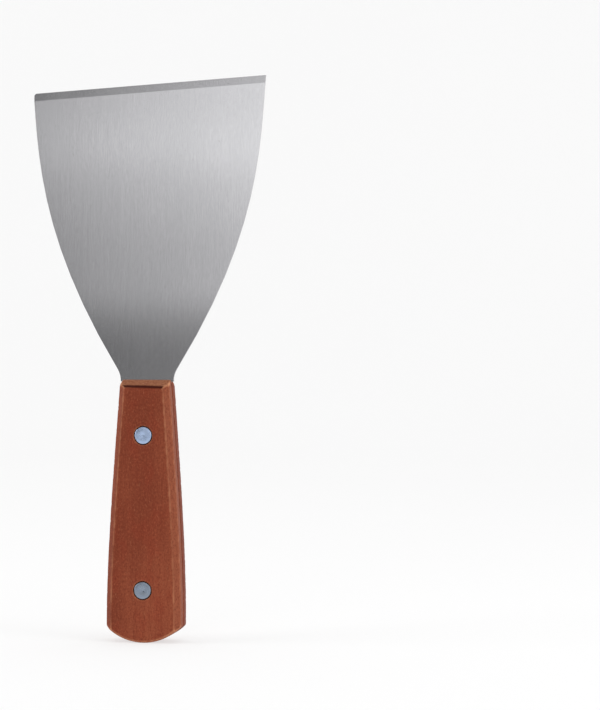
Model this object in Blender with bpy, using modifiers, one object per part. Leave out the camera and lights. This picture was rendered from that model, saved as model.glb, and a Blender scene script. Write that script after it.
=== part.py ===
"""Drywall taping knife: a full-tang steel blade between two wooden scales, held by two rivets.

Metres, +Z up. The knife stands on its butt. +Z runs from the butt to the blade's tip, X is the
width, and the front, where the tip is ground to a bevel, faces -Y. The origin is on the
handle's axis, at the lowest point of the butt. Each rivet is a cutler's rivet in two pieces:
a sleeve from the front and a post, driven into it from the back.
"""
import math

import bmesh
import bpy
from mathutils import Matrix, Vector

# Handle, seen from the front
HANDLE_LENGTH = 0.1114
HANDLE_THICKNESS = 0.016
HANDLE_TOP_HALF_WIDTH = 0.0106
HANDLE_BUTT_HALF_WIDTH = 0.01615
SIDE_STRAIGHT_TO = 0.012
SIDE_LEAN_AT_TOP = math.radians(4.3)
SIDE_HANDLE = 0.0274
BUTT_ARC_RADIUS = 0.0226
BUTT_CORNER_RADIUS = 0.002
BUTT_EDGE_ROUNDING = 0.0015
SIDE_CHAMFER = 0.0025
TOP_END_DROP = 0.003
EDGE_ROUNDING = 0.0004

# Blade, seen from the front
OVERALL_LENGTH = 0.2401
TIP_HALF_WIDTH = 0.0508
TIP_SLANT = math.radians(3.65)
TIP_SIDE_LEAN = math.radians(4.6)
TIP_SIDE_HANDLE = 0.0309
TIP_CORNER_RADIUS = 0.0012
NECK_HALF_WIDTH = 0.0115
NECK_SINK = 0.0012
NECK_HEIGHT = 0.005
NECK_HANDLE = 0.0023
FLARE_HALF_WIDTH = 0.0133
FLARE_LEAN = math.radians(31.7)
FLARE_HANDLE = 0.067
BLADE_THICKNESS = 0.0012
EDGE_THICKNESS = 0.0004
BEVEL_WIDTH = 0.0033
TANG_INSET = 0.0004

# Rivets, measured inward from the head's outer face
RIVET_HEIGHTS = {"upper": 0.0877, "lower": 0.0222}
HEAD_RADIUS = 0.0037
HEAD_THICKNESS = 0.0012
HEAD_RECESS = 0.00015
HEAD_EDGE_ROUNDING = 0.0004
HEAD_EDGE_STEPS = 3
DIMPLE_RADIUS = 0.001
DIMPLE_DEPTH = 0.00015
DIMPLE_STEPS = 3
SLEEVE_RADIUS = 0.0025
SLEEVE_LENGTH = 0.0124
BORE_RADIUS = 0.0016
BORE_FLOOR = 0.0024
POST_RADIUS = 0.0013
POST_LENGTH = 0.0128
POST_TIP_TAPER = 0.0003
RIVET_STEPS = 40

# Fits and resolution
CLEARANCE = 0.0003
HEAD_CLEARANCE = 0.00025
OVERSHOOT = 0.003
CURVE_STEPS = 12
TIP_CORNER_STEPS = 5
SLAB_SIZE = 0.3
MERGE_DISTANCE = 0.000001
ROUND_PROFILE = 0.5
FLAT_ANGLE = math.radians(0.2)
SHADING_ANGLE = math.radians(30)
ARRIS_ANGLE = math.radians(40)
SQUARE_EDGE_ANGLE = math.radians(60)

# Finishes: colour, roughness, metallic
BLADE_FINISH = ((0.60, 0.61, 0.62), 0.34, 1.0)
FRONT_WOOD_FINISH = ((0.235, 0.060, 0.032), 0.55, 0.0)
BACK_WOOD_FINISH = ((0.300, 0.085, 0.045), 0.55, 0.0)
SLEEVE_FINISH = ((0.56, 0.62, 0.68), 0.30, 1.0)
POST_FINISH = ((0.60, 0.64, 0.68), 0.30, 1.0)

MODEL_NAME = "drywall_taping_knife"
FRONT = -1
BACK = 1
X_AXIS = Vector((1, 0, 0))


def clear_scene():
    for item in list(bpy.data.objects):
        bpy.data.objects.remove(item, do_unlink=True)


def make_collection(name):
    group = bpy.data.collections.new(name)
    bpy.context.scene.collection.children.link(group)
    return group


def make_material(name, colour, roughness, metallic):
    material = bpy.data.materials.new(name)
    material.use_nodes = True
    shader = material.node_tree.nodes["Principled BSDF"]
    shader.inputs["Base Color"].default_value = (*colour, 1.0)
    shader.inputs["Roughness"].default_value = roughness
    shader.inputs["Metallic"].default_value = metallic
    material.diffuse_color = (*colour, 1.0)
    return material


# ----------------------------------------------------------------------------------------------
# Outlines, drawn in the XZ plane. A knot is (point, handle before, handle after).


def corner_knot(x, z):
    point = Vector((x, z))
    return (point, point, point)


def smooth_knot(point, direction, before, after):
    return (point, point - direction * before, point + direction * after)


def leaning(angle):
    """The direction that leans outward from +Z by this angle."""
    return Vector((math.sin(angle), math.cos(angle)))


def mirrored(knots):
    """The same knots on the other side of the axis, in the opposite order."""
    flip = Matrix(((-1, 0), (0, 1)))
    return [(flip @ point, flip @ after, flip @ before) for point, before, after in reversed(knots)]


def arc_handle(radius, angle):
    """The Bezier handle length that draws an arc of this radius and angle."""
    return 4 / 3 * math.tan(angle / 4) * radius


def butt_knots(inset):
    """From the butt's lowest point round its right corner, all drawn in by inset."""
    corner_x = HANDLE_BUTT_HALF_WIDTH - BUTT_CORNER_RADIUS
    centre_distance = BUTT_ARC_RADIUS - BUTT_CORNER_RADIUS
    corner_z = BUTT_ARC_RADIUS - math.sqrt(centre_distance ** 2 - corner_x ** 2)
    arc_angle = math.asin(corner_x / centre_distance)
    corner_radius = BUTT_CORNER_RADIUS - inset
    arc_length = arc_handle(BUTT_ARC_RADIUS - inset, arc_angle)
    corner_length = arc_handle(corner_radius, math.pi / 2 - arc_angle)
    along_arc = Vector((math.cos(arc_angle), math.sin(arc_angle)))
    outward = Vector((math.sin(arc_angle), -math.cos(arc_angle)))
    corner_centre = Vector((corner_x, corner_z))
    side = corner_centre + Vector((corner_radius, 0))
    return [
        smooth_knot(Vector((0, inset)), Vector((1, 0)), arc_length, arc_length),
        smooth_knot(corner_centre + outward * corner_radius, along_arc, arc_length, corner_length),
        smooth_knot(side, leaning(0), corner_length, 0),
    ]


def side_knots(inset, drop=0):
    """The handle's right side, from its straight lower end to this far below its top."""
    top_x = HANDLE_TOP_HALF_WIDTH + math.tan(SIDE_LEAN_AT_TOP) * drop - inset
    low = Vector((HANDLE_BUTT_HALF_WIDTH - inset, SIDE_STRAIGHT_TO))
    top = Vector((top_x, HANDLE_LENGTH - drop))
    return [
        smooth_knot(low, leaning(0), 0, SIDE_HANDLE),
        smooth_knot(top, leaning(-SIDE_LEAN_AT_TOP), SIDE_HANDLE, 0),
    ]


def handle_blank_knots():
    """The handle's sides, with square ends that run past the real ones."""
    lean_in = math.tan(SIDE_LEAN_AT_TOP) * OVERSHOOT
    below = corner_knot(HANDLE_BUTT_HALF_WIDTH, -OVERSHOOT)
    above = corner_knot(HANDLE_TOP_HALF_WIDTH - lean_in, HANDLE_LENGTH + OVERSHOOT)
    right = [below, *side_knots(0), above]
    return right + mirrored(right)


def butt_form_knots():
    """The rounded butt, opening out above its corners past the handle's sides."""
    lowest, arc_end, (side, before_side, _) = butt_knots(0)
    opened = side + Vector((CLEARANCE, 0))
    wide = HANDLE_BUTT_HALF_WIDTH + OVERSHOOT
    right = [
        arc_end,
        (opened, before_side, opened),
        corner_knot(wide, SIDE_STRAIGHT_TO),
        corner_knot(wide, HANDLE_LENGTH + 2 * OVERSHOOT),
    ]
    return [lowest, *right, *mirrored(right)]


def blade_knots():
    """The tang inside the handle and the blade above it, running square past the tip."""
    lowest, *butt = butt_knots(TANG_INSET)
    neck = Vector((NECK_HALF_WIDTH, HANDLE_LENGTH - NECK_SINK + CLEARANCE))
    flare = Vector((FLARE_HALF_WIDTH, HANDLE_LENGTH + NECK_HEIGHT))
    tip = Vector((TIP_HALF_WIDTH, OVERALL_LENGTH))
    past_tip = tip + leaning(TIP_SIDE_LEAN) * OVERSHOOT
    right = [
        *butt,
        *side_knots(TANG_INSET, NECK_SINK),
        smooth_knot(neck, leaning(0), 0, NECK_HANDLE),
        smooth_knot(flare, leaning(FLARE_LEAN), NECK_HANDLE, FLARE_HANDLE),
        smooth_knot(tip, leaning(TIP_SIDE_LEAN), TIP_SIDE_HANDLE, 0),
        corner_knot(*past_tip),
    ]
    return [lowest, *right, *mirrored(right)]


# ----------------------------------------------------------------------------------------------
# Solids and cutters


def plate(name, knots, thickness, group):
    """A flat solid with this outline, centred on the XZ plane."""
    curve = bpy.data.curves.new(name + "_outline", "CURVE")
    curve.dimensions = "2D"
    curve.fill_mode = "BOTH"
    curve.extrude = thickness / 2
    curve.resolution_u = CURVE_STEPS
    curve.render_resolution_u = 0
    spline = curve.splines.new("BEZIER")
    spline.bezier_points.add(len(knots) - 1)
    spline.use_cyclic_u = True
    for bezier_point, (point, before, after) in zip(spline.bezier_points, knots):
        bezier_point.handle_left_type = "VECTOR" if before == point else "FREE"
        bezier_point.handle_right_type = "VECTOR" if after == point else "FREE"
        bezier_point.co = point.to_3d()
        bezier_point.handle_left = before.to_3d()
        bezier_point.handle_right = after.to_3d()
    outline = bpy.data.objects.new(name + "_outline", curve)
    outline.rotation_euler = (math.pi / 2, 0, 0)
    group.objects.link(outline)

    depsgraph = bpy.context.evaluated_depsgraph_get()
    mesh = bpy.data.meshes.new_from_object(outline.evaluated_get(depsgraph))
    mesh.name = name
    work = bmesh.new()
    work.from_mesh(mesh)
    bmesh.ops.remove_doubles(work, verts=work.verts, dist=MERGE_DISTANCE)
    bmesh.ops.dissolve_limit(work, angle_limit=FLAT_ANGLE, verts=work.verts, edges=work.edges)
    bmesh.ops.recalc_face_normals(work, faces=work.faces)
    work.to_mesh(mesh)
    work.free()
    solid = bpy.data.objects.new(name, mesh)
    solid.matrix_world = outline.matrix_world
    group.objects.link(solid)
    bpy.data.objects.remove(outline, do_unlink=True)
    return solid


def as_cutter(item):
    item.hide_render = True
    item.display_type = "WIRE"
    return item


def slab(name, point, along, normal, group):
    """A large cube that holds all that lies beyond point in the direction of normal."""
    along = along.normalized()
    normal = normal.normalized()
    across = normal.cross(along)
    centre = point + normal * SLAB_SIZE / 2
    placed = Matrix((along, across, normal)).transposed().to_4x4()
    placed.translation = centre
    mesh = bpy.data.meshes.new(name)
    work = bmesh.new()
    bmesh.ops.create_cube(work, size=SLAB_SIZE)
    work.to_mesh(mesh)
    work.free()
    cube = bpy.data.objects.new(name, mesh)
    cube.matrix_world = placed
    group.objects.link(cube)
    return as_cutter(cube)


def round_hole(name, radius, height, y_from, y_to, group):
    """A cylinder along Y, to drill a hole at this height on the handle's axis."""
    mesh = bpy.data.meshes.new(name)
    work = bmesh.new()
    bmesh.ops.create_cone(
        work,
        cap_ends=True,
        segments=RIVET_STEPS,
        radius1=radius,
        radius2=radius,
        depth=abs(y_to - y_from),
    )
    work.to_mesh(mesh)
    work.free()
    drill = bpy.data.objects.new(name, mesh)
    drill.rotation_euler = (math.pi / 2, 0, 0)
    drill.location = (0, (y_from + y_to) / 2, height)
    group.objects.link(drill)
    return as_cutter(drill)


def boolean(item, cutter, operation="DIFFERENCE"):
    modifier = item.modifiers.new(operation.lower() + "_" + cutter.name, "BOOLEAN")
    modifier.operation = operation
    modifier.object = cutter


def bevel(item, name, width, segments, sharper_than):
    modifier = item.modifiers.new(name, "BEVEL")
    modifier.width = width
    modifier.segments = segments
    modifier.limit_method = "ANGLE"
    modifier.angle_limit = sharper_than
    modifier.use_clamp_overlap = False


def finish(item, material):
    item.data.materials.clear()
    item.data.materials.append(material)
    item.data.shade_smooth()
    item.data.set_sharp_from_angle(angle=SHADING_ANGLE)


# ----------------------------------------------------------------------------------------------
# The pieces


def make_rivet_holes(cutters):
    through = HANDLE_THICKNESS
    return [
        round_hole(
            place + "_rivet_hole", SLEEVE_RADIUS + CLEARANCE, height, -through, through, cutters
        )
        for place, height in RIVET_HEIGHTS.items()
    ]


def make_head_recesses(side, name, cutters):
    depth = HEAD_RECESS + HEAD_THICKNESS + CLEARANCE
    floor = side * (HANDLE_THICKNESS / 2 - depth)
    outside = side * HANDLE_THICKNESS
    radius = HEAD_RADIUS + HEAD_CLEARANCE
    return [
        round_hole(f"{place}_{name}_recess", radius, height, floor, outside, cutters)
        for place, height in RIVET_HEIGHTS.items()
    ]


def trim_tip(blade, high_corner, along_tip, up_tip):
    """Cut the blade off along its slanted tip and round the low corner."""
    to_local = blade.matrix_world.inverted()
    turn = to_local.to_3x3()
    work = bmesh.new()
    work.from_mesh(blade.data)
    cut = bmesh.ops.bisect_plane(
        work,
        geom=[*work.verts, *work.edges, *work.faces],
        plane_co=to_local @ high_corner,
        plane_no=turn @ up_tip,
        clear_outer=True,
    )
    cut_edges = [item for item in cut["geom_cut"] if isinstance(item, bmesh.types.BMEdge)]
    bmesh.ops.edgenet_fill(work, edges=cut_edges)
    bmesh.ops.recalc_face_normals(work, faces=work.faces)

    low_end = min((vert for edge in cut_edges for vert in edge.verts), key=lambda vert: vert.co.x)
    corner = [
        edge
        for edge in low_end.link_edges
        if abs(edge.other_vert(low_end).co.x - low_end.co.x) < MERGE_DISTANCE
        and abs(edge.other_vert(low_end).co.y - low_end.co.y) < MERGE_DISTANCE
    ]
    bmesh.ops.bevel(
        work,
        geom=corner,
        offset=TIP_CORNER_RADIUS,
        segments=TIP_CORNER_STEPS,
        profile=ROUND_PROFILE,
        affect="EDGES",
    )
    work.to_mesh(blade.data)
    work.free()


def make_butt_form(cutters):
    """The shape that both scales' butts share, a little thicker than the handle."""
    thickness = HANDLE_THICKNESS + CLEARANCE
    form = as_cutter(plate("butt_form", butt_form_knots(), thickness, cutters))
    bevel(form, "butt_edge_rounding", BUTT_EDGE_ROUNDING, segments=3, sharper_than=SQUARE_EDGE_ANGLE)
    return form


def make_blade(parts, cutters, rivet_holes):
    blade = plate("blade", blade_knots(), BLADE_THICKNESS, parts)
    bpy.context.view_layer.update()
    high_corner = Vector((TIP_HALF_WIDTH, 0, OVERALL_LENGTH))
    along_tip = Vector((math.cos(TIP_SLANT), 0, math.sin(TIP_SLANT)))
    up_tip = Vector((-math.sin(TIP_SLANT), 0, math.cos(TIP_SLANT)))
    trim_tip(blade, high_corner, along_tip, up_tip)

    front_face = Vector((0, FRONT * BLADE_THICKNESS / 2, 0))
    grind_depth = BLADE_THICKNESS - EDGE_THICKNESS
    grind_start = high_corner + front_face - up_tip * BEVEL_WIDTH
    grind_normal = up_tip * grind_depth + Vector((0, FRONT * BEVEL_WIDTH, 0))
    boolean(blade, slab("bevel_waste", grind_start, along_tip, grind_normal, cutters))
    for hole in rivet_holes:
        boolean(blade, hole)
    return blade


def make_scale(side, name, parts, cutters, butt_form, rivet_holes):
    """One wooden half of the handle: side is FRONT or BACK."""
    scale = plate(name, handle_blank_knots(), HANDLE_THICKNESS, parts)
    bevel(scale, "side_chamfer", SIDE_CHAMFER, segments=1, sharper_than=SQUARE_EDGE_ANGLE)

    inner_face = Vector((0, side * (BLADE_THICKNESS / 2 + CLEARANCE), 0))
    other_half = slab(name + "_other_half", inner_face, X_AXIS, Vector((0, -side, 0)), cutters)
    top_edge = inner_face + Vector((0, 0, HANDLE_LENGTH))
    scale_depth = HANDLE_THICKNESS / 2 - BLADE_THICKNESS / 2 - CLEARANCE
    top_normal = Vector((0, side * TOP_END_DROP, scale_depth))
    top_waste = slab(name + "_top_waste", top_edge, X_AXIS, top_normal, cutters)

    boolean(scale, other_half)
    boolean(scale, top_waste)
    boolean(scale, butt_form, "INTERSECT")
    bevel(scale, "edge_rounding", EDGE_ROUNDING, segments=2, sharper_than=ARRIS_ANGLE)
    for drill in [*rivet_holes, *make_head_recesses(side, name, cutters)]:
        boolean(scale, drill)
    return scale


def turned(name, profile, side, height, parts):
    """A solid of revolution along Y whose local +Z points out of this side of the handle."""
    mesh = bpy.data.meshes.new(name)
    work = bmesh.new()
    verts = [work.verts.new((radius, 0, -depth)) for radius, depth in profile]
    for upper, lower in zip(verts, verts[1:]):
        work.edges.new((upper, lower))
    work.to_mesh(mesh)
    work.free()
    item = bpy.data.objects.new(name, mesh)
    item.rotation_euler = (-side * math.pi / 2, 0, 0)
    item.location = (0, side * (HANDLE_THICKNESS / 2 - HEAD_RECESS), height)
    parts.objects.link(item)
    screw = item.modifiers.new("turn", "SCREW")
    screw.steps = RIVET_STEPS
    screw.render_steps = RIVET_STEPS
    screw.use_merge_vertices = True
    screw.merge_threshold = MERGE_DISTANCE
    screw.use_smooth_shade = True
    return item


def head_profile():
    """The rivet head from its dimple out to its rim and down to its underside: (radius, depth)."""
    dimple = [
        (DIMPLE_RADIUS * share, DIMPLE_DEPTH * (1 - share**2))
        for share in (step / DIMPLE_STEPS for step in range(DIMPLE_STEPS + 1))
    ]
    turns = [math.pi / 2 * step / HEAD_EDGE_STEPS for step in range(HEAD_EDGE_STEPS + 1)]
    edge = [
        (
            HEAD_RADIUS - HEAD_EDGE_ROUNDING * (1 - math.sin(turn)),
            HEAD_EDGE_ROUNDING * (1 - math.cos(turn)),
        )
        for turn in turns
    ]
    return [*dimple, *edge, (HEAD_RADIUS, HEAD_THICKNESS)]


def make_rivet(place, height, parts):
    sleeve_profile = [
        *head_profile(),
        (SLEEVE_RADIUS, HEAD_THICKNESS),
        (SLEEVE_RADIUS, SLEEVE_LENGTH),
        (BORE_RADIUS, SLEEVE_LENGTH),
        (BORE_RADIUS, BORE_FLOOR),
        (0, BORE_FLOOR),
    ]
    post_profile = [
        *head_profile(),
        (POST_RADIUS, HEAD_THICKNESS),
        (POST_RADIUS, POST_LENGTH - POST_TIP_TAPER),
        (POST_RADIUS - POST_TIP_TAPER, POST_LENGTH),
        (0, POST_LENGTH),
    ]
    sleeve = turned(place + "_rivet_sleeve", sleeve_profile, FRONT, height, parts)
    post = turned(place + "_rivet_post", post_profile, BACK, height, parts)
    return sleeve, post


def main():
    clear_scene()
    parts = make_collection(MODEL_NAME)
    cutters = make_collection("cutters")

    rivet_holes = make_rivet_holes(cutters)
    butt_form = make_butt_form(cutters)
    blade = make_blade(parts, cutters, rivet_holes)
    front_scale = make_scale(FRONT, "front_scale", parts, cutters, butt_form, rivet_holes)
    back_scale = make_scale(BACK, "back_scale", parts, cutters, butt_form, rivet_holes)

    finish(blade, make_material("brushed_steel", *BLADE_FINISH))
    finish(front_scale, make_material("stained_wood_front", *FRONT_WOOD_FINISH))
    finish(back_scale, make_material("stained_wood_back", *BACK_WOOD_FINISH))
    for place, height in RIVET_HEIGHTS.items():
        sleeve, post = make_rivet(place, height, parts)
        finish(sleeve, make_material(place + "_sleeve_steel", *SLEEVE_FINISH))
        finish(post, make_material(place + "_post_steel", *POST_FINISH))


main()
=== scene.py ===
"""Looks of the drywall taping knife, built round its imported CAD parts.

Metres, +Z up, the front faces -Y. Each piece starts as a copy of its CAD node, in the same place.
The scales and the blade get a finer mesh, and the rivets keep theirs.
"""
import math
from typing import NamedTuple

import bmesh
import bpy
import numpy as np
from mathutils import Matrix, Vector, noise


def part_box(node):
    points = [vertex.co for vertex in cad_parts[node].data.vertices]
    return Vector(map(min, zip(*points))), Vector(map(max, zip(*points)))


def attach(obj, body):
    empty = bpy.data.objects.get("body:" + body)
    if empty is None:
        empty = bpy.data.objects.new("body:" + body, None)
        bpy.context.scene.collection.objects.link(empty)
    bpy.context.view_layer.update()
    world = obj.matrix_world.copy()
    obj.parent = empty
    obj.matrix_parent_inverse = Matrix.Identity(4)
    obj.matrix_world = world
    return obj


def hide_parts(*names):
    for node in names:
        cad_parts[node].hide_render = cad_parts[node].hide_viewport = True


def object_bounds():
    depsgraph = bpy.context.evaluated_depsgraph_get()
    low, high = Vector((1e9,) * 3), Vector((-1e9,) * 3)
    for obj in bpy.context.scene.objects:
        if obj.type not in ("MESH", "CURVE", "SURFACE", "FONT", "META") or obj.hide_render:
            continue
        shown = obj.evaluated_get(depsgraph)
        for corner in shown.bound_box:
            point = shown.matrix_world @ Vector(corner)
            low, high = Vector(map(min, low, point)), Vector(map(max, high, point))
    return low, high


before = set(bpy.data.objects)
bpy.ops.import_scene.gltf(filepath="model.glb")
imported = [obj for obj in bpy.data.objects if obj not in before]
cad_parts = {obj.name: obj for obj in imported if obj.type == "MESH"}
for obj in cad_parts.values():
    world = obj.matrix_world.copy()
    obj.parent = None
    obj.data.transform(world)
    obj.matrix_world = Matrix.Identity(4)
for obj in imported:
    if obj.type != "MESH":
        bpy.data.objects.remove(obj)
CAD_LOW, CAD_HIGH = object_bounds()
HANDLE_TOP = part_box("front_scale")[1].z

MERGE_DISTANCE = 1e-6

# Camera, round the handle's axis
CAMERA_AZIMUTH = math.radians(13.3)
CAMERA_DISTANCE = 0.95
CAMERA_RISE = 0.0019
CAMERA_YAW = math.radians(3.918)
CAMERA_ROLL = math.radians(0.22)
FOCAL_LENGTH = 112.9
SENSOR_WIDTH = 36

# Studio
STUDIO_RADIUS = 3.0
STUDIO_FILLET = 1.2
STUDIO_WALL_HEIGHT = 3.0
STUDIO_CURVE_STEPS = 16
STUDIO_TURN_STEPS = 96
STUDIO_MERGE_DISTANCE = 1e-5
STUDIO_ALBEDO = 0.35
STUDIO_MOTTLE_SHADE = 0.96
STUDIO_GLOW = 0.62

# The light card in front of the knife. Its strength is upward times across, each the sum of
# ramps: (place from, place to, strength from, strength to).
CARD_DISTANCE = 1.5
CARD_LOW = 0.0
CARD_HIGH = 2.0
CARD_LEFT = -1.6
CARD_RIGHT = 1.2
CARD_UPWARD = [
    (0.112, 0.15, 0.24, 0.36),
    (0.15, 0.175, 0.0, 0.24),
    (0.24, 0.33, 0.0, 0.19),
    (0.33, 0.356, 0.0, 0.17),
    (0.376, 0.41, 0.0, -0.1),
    (0.41, 1.1, 0.0, -0.12),
]
CARD_RISE_ACROSS = (-0.75, -0.08, 0.0, 1.72)
CARD_FALL_ACROSS = (-0.08, 0.2, 0.0, -0.7)

# The softboxes on the left and the right
SOFTBOX_SIDEWAYS = 1.3
SOFTBOX_FORWARD = 0.5
SOFTBOX_HEIGHT = 0.5
SOFTBOX_AIM = (0, 0, 0.1)
SOFTBOX_SIZE = 0.8
SOFTBOX_POWER = 7.0

# Scales: mesh
WOOD_VOXEL = 0.0004
WOOD_SMOOTHING_PASSES = 1
WOOD_SMOOTHING_SHARE = 0.5
SIDE_FACING = (0.3, 0.6)
FLAT_SIDE_FACING = (0.75, 0.95)
TOP_END_FACING = (0.25, 0.5)
TOP_END_START = 0.0045
TOP_END_FULL = 0.0035
SEED_SHIFT = (7.1, 3.3, 5.7)

# Scales: the saw's notches, the sanding's waves and the dark line under the top end
SAW_STRETCH = (0.1, 0.3, 1)
SAW_PER_METRE = 1100
SAW_MARKS = (0.05, 0.5)
NOTCH_DEPTH = 0.00009
SANDING_PER_METRE = 160
SANDING_DEPTH = 0.00006
DARK_LINE_DROP = 0.0029
DARK_LINE_SLANT = 0.03
DARK_LINE_WIDTH = 0.0008
DARK_LINE_DEPTH = 0.00012
DARK_LINE_REACH = (0.001, 0.002)

# Scales: the seam on the tang
SEAM = 0.00001
SEAM_FLAT = 0.0001
SEAM_BLEND_START = 0.0003
SEAM_BLEND_END = 0.0012

# Scales: wear, painted shade in the hollows, and the sides' stain with painted light and shade
WEAR_THRESHOLD = 0.028
WEAR_GAIN = 13.0
HOLLOW_SHADE_GAIN = 6.0
TANG_WEAR_FREE = 0.002
TANG_WEAR_FULL = 0.0045
RIVET_WEAR_NEAR = 0.0044
RIVET_WEAR_FAR = 0.0052
RIVET_WEAR_SHARE = 0.3
LEFT_SIDE_STAIN_AND_LIGHT_SHARE = 0.2

# Blade
BLADE_FLAT_ANGLE = math.radians(0.2)
BLADE_EDGE_ANGLE = math.radians(10)
BLADE_SHARPNESS = math.radians(30)
BLADE_EDGE_ROUNDING = 0.00012
BLADE_EDGE_STEPS = 2
ROUND_PROFILE = 0.5
BLADE_CELL = 0.005
BLADE_CUT_DISTANCE = 1e-7
BLADE_BOW = 0.00018
BLADE_WAVE = 0.00005
BLADE_WAVE_STRETCH = (1, 0, 0.6)
BLADE_WAVE_PER_METRE = 30
BLADE_WAVE_SEED = 5

# Rivets: node, tint and how far stains dull it
RIVET_SHARPNESS = math.radians(35)
RIVETS = [
    ("upper_rivet_sleeve", (0.43, 0.54, 0.755), 0.12),
    ("lower_rivet_sleeve", (0.27, 0.32, 0.4), 0.2),
    ("upper_rivet_post", (0.5, 0.6, 0.8), 0.12),
    ("lower_rivet_post", (0.48, 0.57, 0.76), 0.12),
]
RIVET_CENTRES = [
    (low + high) / 2 for low, high in (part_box(f"{place}_rivet_sleeve") for place in ("upper", "lower"))
]


# ----------------------------------------------------------------------------------------------
# Node materials


class Pattern(NamedTuple):
    """A noise: features to the metre along X, Y and Z, octaves, their roughness, and a shift."""

    per_metre: tuple
    detail: float = 3.0
    roughness: float = 0.55
    shift: float = 0.0


class Shader:
    """Builds one node material."""

    def __init__(self, name):
        self.material = bpy.data.materials.new(name)
        self.material.use_nodes = True
        self.tree = self.material.node_tree
        self.surface = self.tree.nodes["Principled BSDF"]
        self.place = self.node("ShaderNodeTexCoord").outputs["Object"]

    def node(self, kind, inputs=None, **settings):
        made = self.tree.nodes.new(kind)
        for key, value in settings.items():
            setattr(made, key, value)
        for key, value in (inputs or {}).items():
            self.feed(made.inputs[key], value)
        return made

    def feed(self, socket, value):
        if isinstance(value, bpy.types.NodeSocket):
            self.tree.links.new(value, socket)
        elif socket.type == "RGBA":
            socket.default_value = (*value, 1.0)
        else:
            socket.default_value = value

    def set(self, **inputs):
        """Sets the surface's own inputs, named with _ for a space."""
        for key, value in inputs.items():
            self.feed(self.surface.inputs[key.replace("_", " ")], value)

    def math(self, operation, a, b=0.0):
        return self.node("ShaderNodeMath", {0: a, 1: b}, operation=operation).outputs[0]

    def noise(self, pattern, offset=0.0, place=None):
        """The pattern's noise. The offset sets one material's noises apart from another's."""
        mapping = {
            "Vector": place or self.place,
            "Location": (offset + pattern.shift,) * 3,
            "Scale": pattern.per_metre,
        }
        inputs = {
            "Vector": self.node("ShaderNodeMapping", mapping).outputs["Vector"],
            "Scale": 1.0,
            "Detail": pattern.detail,
            "Roughness": pattern.roughness,
        }
        return self.node("ShaderNodeTexNoise", inputs).outputs["Fac"]

    def ramp(self, value, low, high, start=0.0, end=1.0, smooth=True):
        """Maps value from low..high to start..end, held at both ends."""
        return self.node(
            "ShaderNodeMapRange",
            {"Value": value, "From Min": low, "From Max": high, "To Min": start, "To Max": end},
            interpolation_type="SMOOTHSTEP" if smooth else "LINEAR",
        ).outputs["Result"]

    def mix(self, factor, a, b):
        """Mixes two colours, through the node's colour sockets: inputs 6 and 7, and output 2."""
        made = self.node("ShaderNodeMix", data_type="RGBA")
        for index, value in ((0, factor), (6, a), (7, b)):
            self.feed(made.inputs[index], value)
        return made.outputs[2]

    def attribute(self, name):
        return self.node("ShaderNodeAttribute", attribute_name=name).outputs["Fac"]

    def axis(self, name):
        return self.node("ShaderNodeSeparateXYZ", {"Vector": self.place}).outputs[name]

    def bump(self, height, depth, onto=None):
        """A bump this many metres deep."""
        inputs = {"Height": height, "Distance": depth, "Strength": 1.0}
        if onto:
            inputs["Normal"] = onto
        return self.node("ShaderNodeBump", inputs).outputs["Normal"]


def linear(red, green, blue):
    """A colour as the screen shows it, 0 to 255, as the shader needs it, by the sRGB rule."""

    def one(value):
        value /= 255
        return value / 12.92 if value <= 0.04045 else ((value + 0.055) / 1.055) ** 2.4

    return one(red), one(green), one(blue)


# Wood. A blend is (noise from, noise to, share from, share to).
WOOD_ZONES = Pattern((55, 55, 14), detail=2.0)
WOOD_STREAKS = Pattern((750, 750, 30), detail=4.0, shift=3)
WOOD_FIBRES = Pattern((2600, 2600, 260), roughness=0.6, shift=5)
WOOD_MOTTLE = Pattern((1500, 1500, 950), detail=4.0, roughness=0.75, shift=6)
WOOD_PORES = Pattern((2300, 1500, 900), detail=2.0, roughness=0.5, shift=7)
WOOD_FLECKS = Pattern((1900, 1300, 700), detail=2.0, roughness=0.5, shift=9)
WOOD_STAIN = Pattern((170, 170, 80), shift=11)
WOOD_WORN_PATCHES = Pattern((420, 420, 75), shift=13)
WOOD_GRAIN_ENDS = Pattern((1400, 1400, 1400), roughness=0.6, shift=15)
PORE_LIMITS = (0.58, 0.7)
FLECK_LIMITS = (0.64, 0.76)
ZONE_BLEND = (0.3, 0.7, 0.25, 0.75)
STAIN_BLEND = (0.45, 0.7, 0.0, 0.45)
STREAK_BLEND = (0.3, 0.7, 0.0, 0.22)
MOTTLE_DARK_BLEND = (0.34, 0.5, 0.7, 0.0)
MOTTLE_LIGHT_BLEND = (0.5, 0.66, 0.0, 0.55)
FIBRE_BLEND = (0.3, 0.75, 0.0, 0.25)
GRAIN_END_BLEND = (0.35, 0.65, 0.0, 0.65)
WORN_PATCH_BLEND = (0.3, 0.55, 0.25, 1.0)
SIDE_STAIN_AND_LIGHT_SHARE = 0.85
PORE_SHARE = 0.4
FLECK_SHARE = 0.16
HOLLOW_SHADE_AND_LINE_COLOUR = linear(62, 18, 6)
WOOD_ROUGHNESS = (0.2, 0.8, 0.55, 0.68)
WEAR_ROUGHNESS = 0.1
HOLLOW_SHADE_AND_LINE_ROUGHNESS = 0.3
WOOD_SPECULAR = 0.16
STREAK_RELIEF = 0.00006
FIBRE_RELIEF = 0.00004
MOTTLE_RELIEF = 0.00005
PORE_RELIEF = 0.00003


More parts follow.
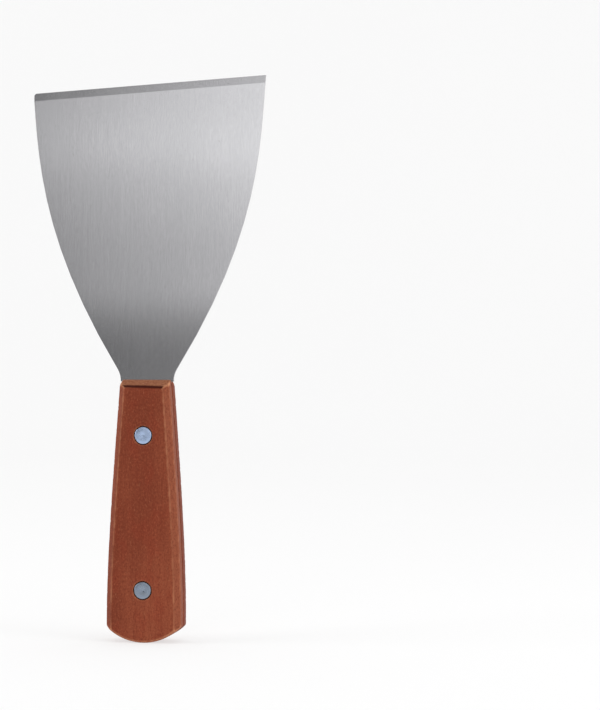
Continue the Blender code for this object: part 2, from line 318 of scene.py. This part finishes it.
def wood_material(name, light, dark, red, worn, side, end, offset):
    """Stained close-grained hardwood. The grain runs along Z. Its side colour is stain with painted
    light on the front scale and painted shade on the back scale; the hollows, and the back scale's end
    grain, carry painted shade too.
    """
    s = Shader(name)
    streaks = s.noise(WOOD_STREAKS, offset)
    fibres = s.noise(WOOD_FIBRES, offset)
    mottle = s.noise(WOOD_MOTTLE, offset)
    pores = s.ramp(s.noise(WOOD_PORES, offset), *PORE_LIMITS)
    flecks = s.ramp(s.noise(WOOD_FLECKS, offset), *FLECK_LIMITS)

    colour = s.mix(s.ramp(s.noise(WOOD_ZONES, offset), *ZONE_BLEND), dark, light)
    colour = s.mix(s.ramp(s.noise(WOOD_STAIN, offset), *STAIN_BLEND), colour, red)
    colour = s.mix(s.ramp(streaks, *STREAK_BLEND), colour, dark)
    # The side colour: stain, with painted light on the front scale's right side and painted shade on the
    # back scale's side.
    colour = s.mix(s.math("MULTIPLY", s.attribute("side"), SIDE_STAIN_AND_LIGHT_SHARE), colour, side)
    colour = s.mix(s.ramp(mottle, *MOTTLE_DARK_BLEND), colour, dark)
    colour = s.mix(s.ramp(mottle, *MOTTLE_LIGHT_BLEND), colour, light)
    colour = s.mix(s.ramp(fibres, *FIBRE_BLEND), colour, dark)
    colour = s.mix(s.math("MULTIPLY", pores, PORE_SHARE), colour, dark)
    colour = s.mix(s.math("MULTIPLY", flecks, FLECK_SHARE), colour, worn)

    grain_ends = s.ramp(s.noise(WOOD_GRAIN_ENDS, offset), *GRAIN_END_BLEND)
    colour = s.mix(s.attribute("end_grain"), colour, s.mix(grain_ends, end, dark))
    patches = s.ramp(s.noise(WOOD_WORN_PATCHES, offset), *WORN_PATCH_BLEND)
    wear = s.math("MULTIPLY", s.attribute("wear"), patches)
    # Painted shade in the hollows, and the dark line under the top end, both in one dark colour.
    hollow_shade_and_line = s.attribute("hollow_shade_and_line")
    colour = s.mix(wear, colour, worn)
    colour = s.mix(hollow_shade_and_line, colour, HOLLOW_SHADE_AND_LINE_COLOUR)

    worn_roughness = s.math("MULTIPLY", wear, WEAR_ROUGHNESS)
    roughness = s.math("ADD", s.ramp(streaks, *WOOD_ROUGHNESS), worn_roughness)
    roughness = s.math("ADD", roughness, s.math("MULTIPLY", hollow_shade_and_line, HOLLOW_SHADE_AND_LINE_ROUGHNESS))
    relief = s.bump(streaks, STREAK_RELIEF)
    relief = s.bump(fibres, FIBRE_RELIEF, relief)
    relief = s.bump(mottle, MOTTLE_RELIEF, relief)
    relief = s.bump(s.math("SUBTRACT", 1.0, pores), PORE_RELIEF, relief)
    s.set(
        Base_Color=colour,
        Roughness=roughness,
        Normal=relief,
        Specular_IOR_Level=WOOD_SPECULAR,
    )
    return s.material


# Ground steel, with its lines along Z
STEEL_LINES = Pattern((4200, 4200, 40), detail=4.0, roughness=0.65, shift=2.0)
STEEL_FINE_LINES = Pattern((9000, 9000, 90), detail=2.0, roughness=0.6, shift=4.0)
STEEL_SCRATCHES = Pattern((3200, 3200, 400), roughness=0.65, shift=6.0)
STEEL_HAZE = Pattern((45, 45, 30), shift=8.0)
STEEL_SPECKS = Pattern((900, 900, 700), detail=1.0, shift=9.0)
LINE_LIMITS = (0.3, 0.7)
SPECK_LIMITS = (0.74, 0.8)
SCRATCH_DARK_BLEND = (0.34, 0.5, 0.3, 0.0)
SCRATCH_LIGHT_BLEND = (0.5, 0.66, 0.0, 0.3)
HAZE_BLEND = (0.35, 0.7, 0.0, 0.3)
SPECK_SHARE = 0.3
LINE_DARK_COLOUR = (0.575, 0.571, 0.59)
LINE_LIGHT_COLOUR = (0.625, 0.621, 0.64)
SCRATCH_DARK_COLOUR = (0.5, 0.498, 0.515)
SCRATCH_LIGHT_COLOUR = (0.7, 0.697, 0.715)
HAZE_COLOUR = (0.58, 0.585, 0.6)
SPECK_COLOUR = (0.3, 0.29, 0.28)
# Painted shade on the steel that goes into the handle
COVERED_SHADE_COLOUR = (0.06, 0.035, 0.025)
COVERED_START = 0.002
LINE_ROUGHNESS = (0.2, 0.8, 0.12, 0.15)
HAZE_ROUGHNESS = (0.3, 0.7, 0.0, 0.02)
COVERED_ROUGHNESS = 0.5
LINE_RELIEF = 0.0000004
FINE_LINE_RELIEF = 0.0000002
STEEL_ANISOTROPY = 0.95


def blade_material():
    """Spring steel, ground along Z, dull where the handle covers it, and painted dark there as shade."""
    s = Shader("ground_spring_steel")
    lines = s.noise(STEEL_LINES)
    scratches = s.noise(STEEL_SCRATCHES)
    haze = s.noise(STEEL_HAZE)
    specks = s.ramp(s.noise(STEEL_SPECKS), *SPECK_LIMITS)
    covered_and_shaded = s.ramp(s.axis("Z"), HANDLE_TOP - COVERED_START, HANDLE_TOP, 1.0, 0.0)

    colour = s.mix(s.ramp(lines, *LINE_LIMITS), LINE_DARK_COLOUR, LINE_LIGHT_COLOUR)
    colour = s.mix(s.ramp(scratches, *SCRATCH_DARK_BLEND), colour, SCRATCH_DARK_COLOUR)
    colour = s.mix(s.ramp(scratches, *SCRATCH_LIGHT_BLEND), colour, SCRATCH_LIGHT_COLOUR)
    colour = s.mix(s.ramp(haze, *HAZE_BLEND), colour, HAZE_COLOUR)
    colour = s.mix(s.math("MULTIPLY", specks, SPECK_SHARE), colour, SPECK_COLOUR)
    # Painted shade where the blade goes into the handle.
    colour = s.mix(covered_and_shaded, colour, COVERED_SHADE_COLOUR)
    roughness = s.math("ADD", s.ramp(lines, *LINE_ROUGHNESS), s.ramp(haze, *HAZE_ROUGHNESS))
    roughness = s.math("ADD", roughness, s.math("MULTIPLY", covered_and_shaded, COVERED_ROUGHNESS))
    relief = s.bump(lines, LINE_RELIEF)
    relief = s.bump(s.noise(STEEL_FINE_LINES), FINE_LINE_RELIEF, relief)
    tangent = s.node("ShaderNodeTangent", direction_type="UV_MAP", uv_map="grinding").outputs[0]
    s.set(
        Base_Color=colour,
        Roughness=roughness,
        Normal=relief,
        Tangent=tangent,
        Metallic=1.0,
        Anisotropic=STEEL_ANISOTROPY,
    )
    return s.material


# Rivet metal. The rings are a noise of the distance from the rivet's axis.
RIVET_RINGS = Pattern((7000, 1, 1), roughness=0.6)
RIVET_SCUFFS = Pattern((900, 900, 900), detail=4.0, roughness=0.6, shift=2)
RIVET_STAINS = Pattern((500, 500, 500), shift=4)
RING_LIMITS = (0.3, 0.7)
RING_SHADE = 0.9
STAIN_LIMITS = (0.45, 0.7)
STAIN_COLOUR = (0.3, 0.3, 0.29)
STAIN_ROUGHNESS = 0.1
RIM_SHADE_LIMITS = (0.0033, 0.0037)
RIM_SHADE_SHARE = 0.3
RIM_SHADE_COLOUR = (0.25, 0.26, 0.3)
SCUFF_ROUGHNESS = (0.3, 0.7, 0.24, 0.38)
RING_RELIEF = 0.000004
SCUFF_RELIEF = 0.00002
ACROSS_Y = (1, 0, 1)


def rivet_material(name, centre, tint, dullness, offset):
    """Bright soft metal, turned round its own axis and a little scuffed, with painted shade round the
    head's rim.
    """
    s = Shader(name)
    from_axis = s.node(
        "ShaderNodeVectorMath", {0: s.place, 1: (centre.x, 0, centre.z)}, operation="SUBTRACT"
    ).outputs[0]
    flat = s.node(
        "ShaderNodeVectorMath", {0: from_axis, 1: ACROSS_Y}, operation="MULTIPLY"
    ).outputs[0]
    radius = s.node("ShaderNodeVectorMath", {0: flat}, operation="LENGTH").outputs["Value"]
    radial = s.node("ShaderNodeCombineXYZ", {"X": radius}).outputs[0]
    rings = s.noise(RIVET_RINGS, offset, radial)
    scuffs = s.noise(RIVET_SCUFFS, offset)
    stains = s.ramp(s.noise(RIVET_STAINS, offset), *STAIN_LIMITS)
    rim_shade = s.ramp(radius, *RIM_SHADE_LIMITS)

    ring_dark = [channel * RING_SHADE for channel in tint]
    colour = s.mix(s.ramp(rings, *RING_LIMITS), ring_dark, tint)
    colour = s.mix(s.math("MULTIPLY", stains, dullness), colour, STAIN_COLOUR)
    # Painted shade round the head's rim, where it sits in its hole.
    colour = s.mix(s.math("MULTIPLY", rim_shade, RIM_SHADE_SHARE), colour, RIM_SHADE_COLOUR)
    stained_roughness = s.math("MULTIPLY", stains, STAIN_ROUGHNESS)
    roughness = s.math("ADD", s.ramp(scuffs, *SCUFF_ROUGHNESS), stained_roughness)
    relief = s.bump(rings, RING_RELIEF)
    relief = s.bump(scuffs, SCUFF_RELIEF, relief)
    s.set(Base_Color=colour, Roughness=roughness, Normal=relief, Metallic=1.0)
    return s.material


STUDIO_MOTTLE = Pattern((1.5, 1.5, 1.5), detail=2.0)


def studio_material():
    """Matt white paper that glows evenly."""
    s = Shader("studio_paper")
    shaded = STUDIO_ALBEDO * STUDIO_MOTTLE_SHADE
    s.set(
        Base_Color=s.mix(s.noise(STUDIO_MOTTLE), [STUDIO_ALBEDO] * 3, [shaded] * 3),
        Roughness=1.0,
        Specular_IOR_Level=0.0,
        Emission_Color=(1.0, 1.0, 1.0),
        Emission_Strength=STUDIO_GLOW,
    )
    return s.material


def card_material():
    """A light card: dark at the foot and on the left, brightest in a band and near the middle."""
    s = Shader("gradient_card")
    height = s.axis("Z")
    sideways = s.axis("X")
    upward = 0.0
    for limits in CARD_UPWARD:
        upward = s.math("ADD", upward, s.ramp(height, *limits, smooth=False))
    rise = s.ramp(sideways, *CARD_RISE_ACROSS, smooth=False)
    fall = s.ramp(sideways, *CARD_FALL_ACROSS, smooth=False)
    s.set(
        Base_Color=(0.0, 0.0, 0.0),
        Roughness=1.0,
        Specular_IOR_Level=0.0,
        Emission_Color=(1.0, 1.0, 1.0),
        Emission_Strength=s.math("MULTIPLY", upward, s.math("ADD", rise, fall)),
    )
    return s.material


# ----------------------------------------------------------------------------------------------
# Mesh helpers


def joined_copy(node, name):
    """A new object with the CAD node's mesh, its split vertices joined."""
    item = bpy.data.objects.new(name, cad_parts[node].data.copy())
    bpy.context.scene.collection.objects.link(item)
    item.data.materials.clear()
    work = bmesh.new()
    work.from_mesh(item.data)
    bmesh.ops.remove_doubles(work, verts=work.verts, dist=MERGE_DISTANCE)
    work.to_mesh(item.data)
    work.free()
    return item


def show(item, node, material):
    """Gives a piece its material and lets it stand for its CAD node."""
    item.data.materials.append(material)
    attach(item, "root")
    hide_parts(node)


def points_of(mesh):
    flat = np.empty(len(mesh.vertices) * 3, np.float32)
    mesh.vertices.foreach_get("co", flat)
    return flat.reshape(-1, 3).astype(float)


def normals_of(mesh):
    flat = np.empty(len(mesh.vertices) * 3, np.float32)
    mesh.vertex_normals.foreach_get("vector", flat)
    return flat.reshape(-1, 3).astype(float)


def set_points(mesh, points):
    mesh.vertices.foreach_set("co", points.astype(np.float32).ravel())
    mesh.update()


def set_attribute(mesh, name, values):
    layer = mesh.attributes.new(name, "FLOAT", "POINT")
    layer.data.foreach_set("value", np.clip(values, 0, 1).astype(np.float32))


class Neighbours:
    """Averages a value over each vertex's neighbours."""

    def __init__(self, mesh):
        ends = np.empty(len(mesh.edges) * 2, np.int32)
        mesh.edges.foreach_get("vertices", ends)
        self.a, self.b = ends.reshape(-1, 2).T
        self.count = np.bincount(ends, minlength=len(mesh.vertices)).astype(float)

    def mean(self, values):
        total = np.zeros_like(values)
        np.add.at(total, self.a, values[self.b])
        np.add.at(total, self.b, values[self.a])
        return total / (self.count[:, None] if values.ndim == 2 else self.count)


def smoothstep(values, low, high):
    share = np.clip((values - low) / (high - low), 0, 1)
    return share * share * (3 - 2 * share)


def wander(points, per_metre, seed):
    """A smooth noise from -1 to 1 at each point, with this many features to the metre."""
    shift = Vector([seed * step for step in SEED_SHIFT])
    return np.array([noise.noise(Vector(p * per_metre) + shift) for p in points])


def shade_smooth(work, sharpness):
    """Smooth shading, but for the edges that turn by more than sharpness."""
    for face in work.faces:
        face.smooth = True
    for edge in work.edges:
        edge.smooth = not (edge.is_manifold and edge.calc_face_angle() > sharpness)


# ----------------------------------------------------------------------------------------------
# Scales


def remesh(item):
    """Gives a piece an even mesh of small cells."""
    modifier = item.modifiers.new("remesh", "REMESH")
    modifier.mode = "VOXEL"
    modifier.voxel_size = WOOD_VOXEL
    modifier.use_smooth_shade = True
    evaluated = item.evaluated_get(bpy.context.evaluated_depsgraph_get())
    item.data = bpy.data.meshes.new_from_object(evaluated)
    item.modifiers.clear()


def dark_line_under_top(points, top, outer_y, on_side):
    """How far each point lies on the dark line: a line across the outer face, just under its top end."""
    line = top - DARK_LINE_DROP - DARK_LINE_SLANT * points[:, 0]
    dark_line_share = 1 - smoothstep(np.abs(points[:, 2] - line), DARK_LINE_WIDTH / 2, DARK_LINE_WIDTH)
    from_face = np.abs(points[:, 1] - outer_y)
    return dark_line_share * (1 - on_side) * (1 - smoothstep(from_face, *DARK_LINE_REACH))


def close_on_tang(mesh, inner_y):
    """Brings a scale's inner face up to the tang, which the real one is clamped against."""
    tang_y = np.sign(inner_y) * (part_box("blade")[1].y + SEAM)
    closed = points_of(mesh)
    off_plane = closed[:, 1] - inner_y
    share = 1 - smoothstep(np.abs(off_plane), SEAM_BLEND_START, SEAM_BLEND_END)
    flattened = 1 - smoothstep(np.abs(off_plane), SEAM_FLAT, SEAM_BLEND_START)
    closed[:, 1] += share * (tang_y - inner_y - off_plane * flattened)
    set_points(mesh, closed)


def wear_of(points, hollow):
    """How worn each point is: on its arrises, less so round the rivets, and not at the tang."""
    wear = (-hollow - WEAR_THRESHOLD) * WEAR_GAIN
    wear *= smoothstep(np.abs(points[:, 1]), TANG_WEAR_FREE, TANG_WEAR_FULL)
    for centre in RIVET_CENTRES:
        away = np.hypot(points[:, 0] - centre.x, points[:, 2] - centre.z)
        round_rivet = smoothstep(away, RIVET_WEAR_NEAR, RIVET_WEAR_FAR)
        wear *= RIVET_WEAR_SHARE + (1 - RIVET_WEAR_SHARE) * round_rivet
    return wear


def make_scale(node, name, material, seed, has_dark_line):
    """A wooden scale with hand-sanded, worn edges and a saw's small notches on its sides."""
    item = joined_copy(node, name)
    remesh(item)
    mesh = item.data
    around = Neighbours(mesh)
    points = points_of(mesh)
    # How far the neighbours stand out from each point, in cells: below 0 on an arris.
    hollow = np.einsum("ij,ij->i", around.mean(points) - points, normals_of(mesh)) / WOOD_VOXEL
    hollow = around.mean(hollow)
    for _ in range(WOOD_SMOOTHING_PASSES):
        points += WOOD_SMOOTHING_SHARE * (around.mean(points) - points)
    set_points(mesh, points)
    normals = normals_of(mesh)

    low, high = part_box(node)
    inner_y, outer_y = sorted((low.y, high.y), key=abs)
    on_side = smoothstep(np.abs(normals[:, 0]), *SIDE_FACING)
    # The dark line across the outer face under its top end: cut in as a shallow groove and painted dark.
    dark_line_share = has_dark_line * dark_line_under_top(points, high.z, outer_y, on_side)

    saw = wander(points * SAW_STRETCH, SAW_PER_METRE, seed)
    sanded = wander(points, SANDING_PER_METRE, seed + 1)
    notched = smoothstep(np.abs(normals[:, 0]), *FLAT_SIDE_FACING) * smoothstep(saw, *SAW_MARKS)
    inward = NOTCH_DEPTH * notched + SANDING_DEPTH * (sanded + 1) / 2 + DARK_LINE_DEPTH * dark_line_share
    set_points(mesh, points - normals * inward[:, None])
    close_on_tang(mesh, inner_y)

    near_top = smoothstep(points[:, 2], high.z - TOP_END_START, high.z - TOP_END_FULL)
    top_end = smoothstep(normals[:, 2], *TOP_END_FACING) * near_top
    set_attribute(mesh, "wear", wear_of(points, hollow))
    # Painted shade in the hollows, from how hollow each point is, together with the dark line.
    set_attribute(mesh, "hollow_shade_and_line", np.maximum(hollow * HOLLOW_SHADE_GAIN, dark_line_share))
    set_attribute(mesh, "end_grain", top_end)
    # Where the side colour goes: the sideways faces, less on those that face left, as its painted light
    # and shade fall mostly on the right.
    set_attribute(mesh, "side", on_side * np.where(normals[:, 0] < 0, LEFT_SIDE_STAIN_AND_LIGHT_SHARE, 1.0))
    show(item, node, material)


# ----------------------------------------------------------------------------------------------
# Blade and rivets


def break_edges(work):
    """Joins the faces that lie in one plane and rounds the edges between the others."""
    bmesh.ops.dissolve_limit(
        work, angle_limit=BLADE_FLAT_ANGLE, verts=work.verts, edges=work.edges
    )
    sharp = [e for e in work.edges if e.is_manifold and e.calc_face_angle() > BLADE_EDGE_ANGLE]
    bmesh.ops.bevel(
        work,
        geom=sharp,
        offset=BLADE_EDGE_ROUNDING,
        segments=BLADE_EDGE_STEPS,
        profile=ROUND_PROFILE,
        affect="EDGES",
        clamp_overlap=True,
    )


def cut_into_cells(work, low, high):
    """Cuts the blade across X, and above the handle across Z, so that it can be bowed."""
    cuts = [((x, 0, 0), (1, 0, 0)) for x in np.arange(low.x, high.x, BLADE_CELL)]
    cuts += [((0, 0, z), (0, 0, 1)) for z in np.arange(HANDLE_TOP, high.z, BLADE_CELL)]
    for point, normal in cuts:
        everything = [*work.verts, *work.edges, *work.faces]
        bmesh.ops.bisect_plane(
            work, geom=everything, dist=BLADE_CUT_DISTANCE, plane_co=point, plane_no=normal
        )


def map_grinding(work):
    """A UV map laid on the XZ plane, which gives the grinding its direction."""
    grinding = work.loops.layers.uv.new("grinding")
    for face in work.faces:
        for loop in face.loops:
            loop[grinding].uv = (loop.vert.co.x, loop.vert.co.z)


def make_blade():
    """The blade with its edges broken and a spring's slight bow."""
    item = joined_copy("blade", "blade_steel")
    low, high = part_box("blade")
    work = bmesh.new()
    work.from_mesh(item.data)
    break_edges(work)
    cut_into_cells(work, low, high)
    shade_smooth(work, BLADE_SHARPNESS)
    map_grinding(work)
    work.to_mesh(item.data)
    work.free()

    points = points_of(item.data)
    share = np.clip((points[:, 2] - HANDLE_TOP) / (high.z - HANDLE_TOP), 0, 1)
    free = np.sin(math.pi * share)
    wave = wander(points * BLADE_WAVE_STRETCH, BLADE_WAVE_PER_METRE, BLADE_WAVE_SEED)
    points[:, 1] -= BLADE_BOW * free
    points[:, 1] += BLADE_WAVE * free * wave
    set_points(item.data, points)
    weighted = item.modifiers.new("weighted_normals", "WEIGHTED_NORMAL")
    weighted.keep_sharp = True
    show(item, "blade", blade_material())


def make_rivet(node, tint, dullness, seed):
    """One half of a rivet, smooth on its round faces."""
    item = joined_copy(node, node + "_turned")
    work = bmesh.new()
    work.from_mesh(item.data)
    shade_smooth(work, RIVET_SHARPNESS)
    work.to_mesh(item.data)
    work.free()
    low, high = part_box(node)
    material = rivet_material(node + "_metal", (low + high) / 2, tint, dullness, seed)
    show(item, node, material)


# ----------------------------------------------------------------------------------------------
# Studio and camera


def from_bmesh(name, work):
    mesh = bpy.data.meshes.new(name)
    work.to_mesh(mesh)
    work.free()
    item = bpy.data.objects.new(name, mesh)
    bpy.context.scene.collection.objects.link(item)
    return item


def make_studio():
    """A closed pale tent, round in plan, whose floor curves up into its wall and roof."""
    quarter = math.pi / 2
    turns = [quarter * step / STUDIO_CURVE_STEPS for step in range(STUDIO_CURVE_STEPS + 1)]
    flat = STUDIO_RADIUS - STUDIO_FILLET
    foot = [
        (flat + STUDIO_FILLET * math.sin(turn), STUDIO_FILLET * (1 - math.cos(turn)))
        for turn in turns
    ]
    roof = [
        (STUDIO_RADIUS * math.cos(turn), STUDIO_WALL_HEIGHT + STUDIO_RADIUS * math.sin(turn))
        for turn in turns
    ]
    profile = [(0, 0)] + foot + roof[:-1] + [(0, STUDIO_WALL_HEIGHT + STUDIO_RADIUS)]
    work = bmesh.new()
    line = [work.verts.new((radius, 0, height)) for radius, height in profile]
    edges = [work.edges.new(pair) for pair in zip(line, line[1:])]
    bmesh.ops.spin(
        work,
        geom=line + edges,
        axis=(0, 0, 1),
        cent=(0, 0, 0),
        angle=4 * quarter,
        steps=STUDIO_TURN_STEPS,
        use_merge=True,
    )
    bmesh.ops.remove_doubles(work, verts=work.verts, dist=STUDIO_MERGE_DISTANCE)
    for face in work.faces:
        face.smooth = True
    item = from_bmesh("studio", work)
    item.data.materials.append(studio_material())


def make_card():
    """The card that lights the blade, which the camera doesn't see."""
    work = bmesh.new()
    corners = [
        (CARD_LEFT, CARD_LOW),
        (CARD_RIGHT, CARD_LOW),
        (CARD_RIGHT, CARD_HIGH),
        (CARD_LEFT, CARD_HIGH),
    ]
    work.faces.new([work.verts.new((x, -CARD_DISTANCE, z)) for x, z in corners])
    item = from_bmesh("gradient_card", work)
    item.data.materials.append(card_material())
    item.visible_camera = False


def make_softbox(name, place):
    data = bpy.data.lights.new(name, "AREA")
    data.shape = "RECTANGLE"
    data.size = SOFTBOX_SIZE
    data.size_y = SOFTBOX_SIZE
    data.energy = SOFTBOX_POWER
    item = bpy.data.objects.new(name, data)
    item.location = place
    aim = Vector(SOFTBOX_AIM) - Vector(place)
    item.rotation_euler = aim.to_track_quat("-Z", "Y").to_euler()
    item.visible_camera = False
    bpy.context.scene.collection.objects.link(item)


def make_camera():
    back = Vector((math.sin(CAMERA_AZIMUTH), -math.cos(CAMERA_AZIMUTH), 0))
    middle = Vector((0, 0, (CAD_LOW.z + CAD_HIGH.z) / 2 + CAMERA_RISE))
    data = bpy.data.cameras.new("camera")
    data.lens = FOCAL_LENGTH
    data.sensor_width = SENSOR_WIDTH
    item = bpy.data.objects.new("camera", data)
    facing = (-back).to_track_quat("-Z", "Y").to_matrix().to_4x4()
    turned = Matrix.Rotation(-CAMERA_YAW, 4, "Z") @ facing @ Matrix.Rotation(CAMERA_ROLL, 4, "Z")
    item.matrix_world = Matrix.Translation(middle + back * CAMERA_DISTANCE) @ turned
    bpy.context.scene.collection.objects.link(item)
    bpy.context.scene.camera = item


front_wood = wood_material(
    "front_scale_wood",
    light=linear(156, 82, 54),
    dark=linear(102, 38, 19),
    red=linear(134, 52, 31),
    worn=linear(204, 142, 104),
    # side: a lighter stain with painted light, for the side lit from the right
    side=linear(138, 74, 48),
    end=linear(158, 104, 72),
    offset=0.0,
)
back_wood = wood_material(
    "back_scale_wood",
    light=linear(172, 94, 64),
    dark=linear(126, 54, 36),
    red=linear(152, 64, 52),
    worn=linear(206, 146, 110),
    # side: a darker stain with painted shade, for the side that faces away from the light
    side=linear(98, 45, 28),
    # end: end grain, dark from the stain and painted darker still as shade
    end=linear(80, 42, 30),
    offset=20.0,
)
make_scale("front_scale", "front_scale_wood", front_wood, 1, has_dark_line=1.0)
make_scale("back_scale", "back_scale_wood", back_wood, 2, has_dark_line=0.0)
make_blade()
for seed, (node, tint, dullness) in enumerate(RIVETS, start=1):
    make_rivet(node, tint, dullness, seed)

make_studio()
make_card()
for name, side in (("left_softbox", -1), ("right_softbox", 1)):
    make_softbox(name, (side * SOFTBOX_SIDEWAYS, -SOFTBOX_FORWARD, SOFTBOX_HEIGHT))
make_camera()
bpy.context.scene.view_settings.view_transform = "Standard"
